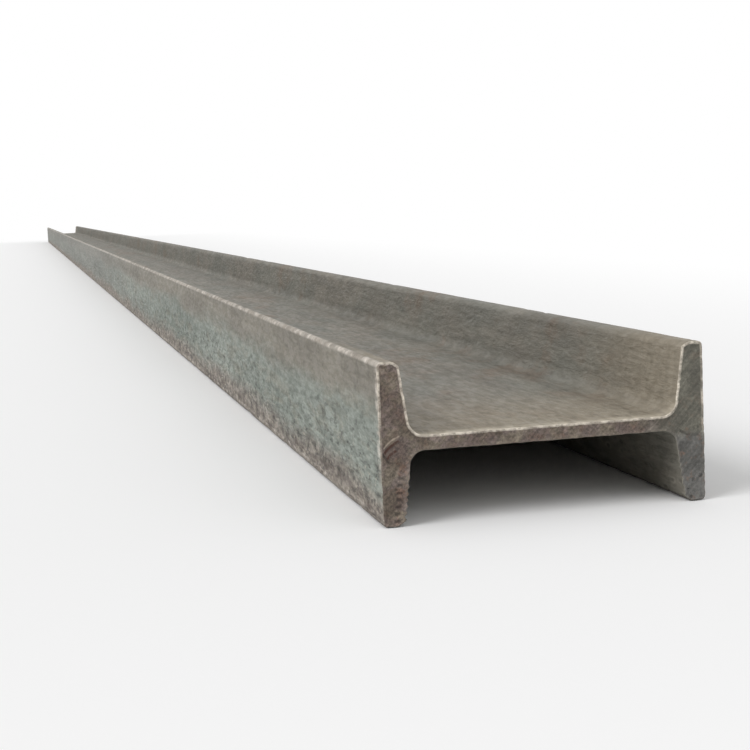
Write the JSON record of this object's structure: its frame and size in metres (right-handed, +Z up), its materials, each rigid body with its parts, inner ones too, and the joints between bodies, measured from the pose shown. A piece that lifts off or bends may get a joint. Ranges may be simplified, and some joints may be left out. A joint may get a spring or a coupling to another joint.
{
  "type": "steel i-beam",
  "caption": "Hot-rolled steel I-beam with tapered flanges, one sawn length of stock lying with its web level.",
  "frame": {"origin": "middle of the footprint, on the floor that the lower flange toes rest on", "axes": "+Y along the beam away from the near end, +X across the section from flange to flange, +Z up, square to the web"},
  "size_m": [0.12, 6, 0.058],
  "materials": {
    "mill_steel": "hot-rolled mill scale, grey-green with brown rust along edges and on the sawn ends"
  },
  "bodies": {
    "root": {"i_beam": "mill_steel"}
  },
  "joints": []
}
